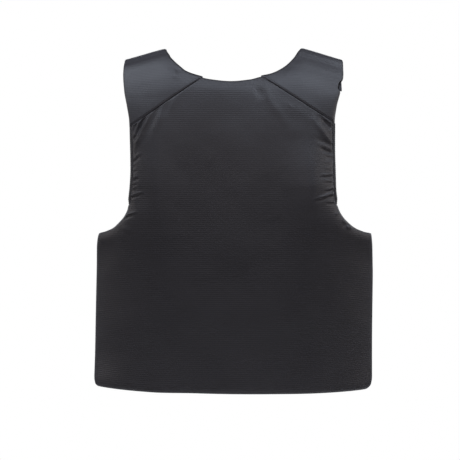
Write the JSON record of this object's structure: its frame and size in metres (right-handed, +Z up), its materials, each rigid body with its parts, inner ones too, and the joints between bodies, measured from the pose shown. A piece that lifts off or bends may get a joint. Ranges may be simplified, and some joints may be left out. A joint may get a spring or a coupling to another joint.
{
  "type": "stab vest",
  "caption": "Soft stab vest: padded back and front panels on rolled shoulder yokes, open neck and armholes, elastic side straps.",
  "frame": {"origin": "the middle between the shoulders, at the height where the shoulder pieces rest on the wearer, under the line of the shoulders' roll", "axes": "+Z up along the wearer's height; +Y forwards, out of the wearer's chest; +X to the wearer's right"},
  "size_m": [0.4668, 0.2462, 0.5674],
  "materials": {
    "cloth": "fine ribbed nylon with a soft sheen",
    "yoke_cloth": "fine ribbed nylon with a soft sheen",
    "edging": "matt stitched edging",
    "band": "matt woven band",
    "elastic": "matt ribbed elastic"
  },
  "bodies": {
    "root": {"back_panel": "cloth", "front_panel": "cloth", "yoke_left": "yoke_cloth", "yoke_right": "yoke_cloth", "arm_edging_left": "edging", "arm_edging_right": "edging", "strap_left": "band", "strap_right": "band", "side_strap_left_upper": "elastic", "side_strap_left_lower": "elastic", "side_strap_right_upper": "elastic", "side_strap_right_lower": "elastic"}
  },
  "joints": []
}
